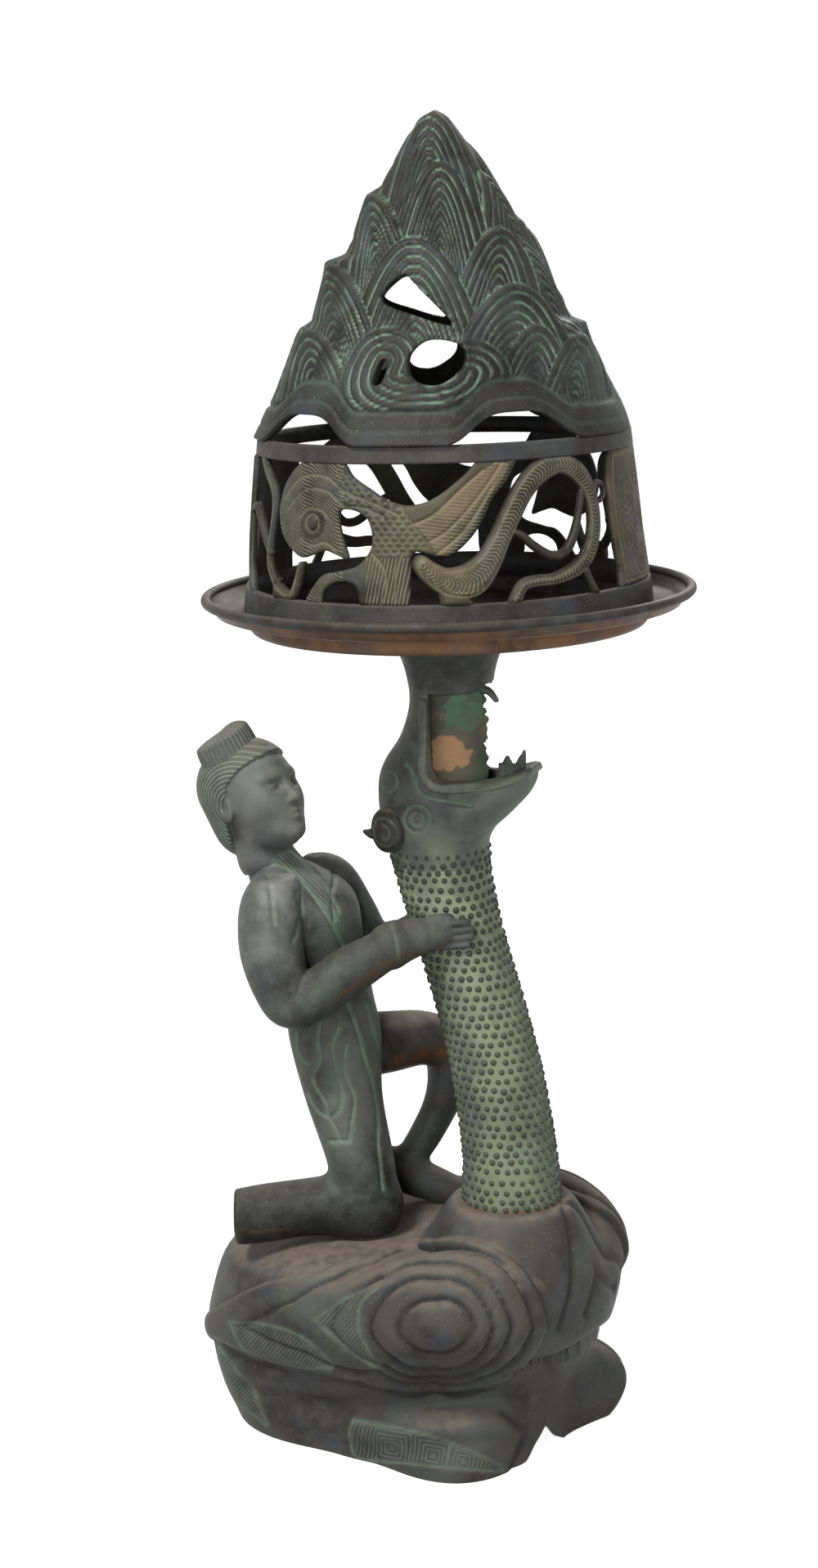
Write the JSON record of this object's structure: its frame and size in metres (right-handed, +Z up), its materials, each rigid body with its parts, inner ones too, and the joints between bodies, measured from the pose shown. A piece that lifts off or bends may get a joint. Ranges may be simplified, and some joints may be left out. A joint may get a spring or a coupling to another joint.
{
  "type": "hill censer",
  "caption": "Bronze incense censer: a kneeling figure on a beast holds a dragon's neck whose jaws carry a round tray with a lift-off openwork hill-shaped cover.",
  "frame": {"origin": "on the floor, under the middle of the censer's plan box", "axes": "+Z up along the tray's axis, +X to the right as the picture shows the censer, -Y towards the viewer"},
  "size_m": [0.2334, 0.22, 0.5991],
  "materials": {
    "dark_bronze": "dark patina with pale green in the grooves",
    "green_bronze": "dusty verdigris",
    "tray_copper": "brown satin sheet with a dark rim",
    "cover_bronze": "dark patina, worn golden brown on the frieze"
  },
  "bodies": {
    "stand": {"beast_body": "dark_bronze", "dragon_neck": "green_bronze", "dragon_head": "dark_bronze", "throat_pipe": "green_bronze", "horn": "dark_bronze", "near_ear": "dark_bronze", "far_ear": "dark_bronze", "figure_body": "dark_bronze", "figure_head": "dark_bronze", "topknot": "dark_bronze", "near_arm": "dark_bronze", "far_arm": "dark_bronze", "raised_leg": "dark_bronze", "tray": "tray_copper", "rim_wire": "tray_copper", "tray_rivet": "tray_copper", "rivet_washer": "tray_copper"},
    "cover": {"cover_ring": "cover_bronze", "front_scroll": "cover_bronze", "front_bird": "cover_bronze", "front_dragon": "cover_bronze", "right_plate": "cover_bronze", "rear_scroll": "cover_bronze", "rear_bird": "cover_bronze", "rear_dragon": "cover_bronze", "left_plate": "cover_bronze", "cover_belt": "cover_bronze", "hill": "cover_bronze"}
  },
  "joints": [
    {"name": "cover_lift", "type": "slide", "parent": "stand", "child": "cover", "axis": [0, 0, 1], "range_m": [0, 0.15]}
  ]
}
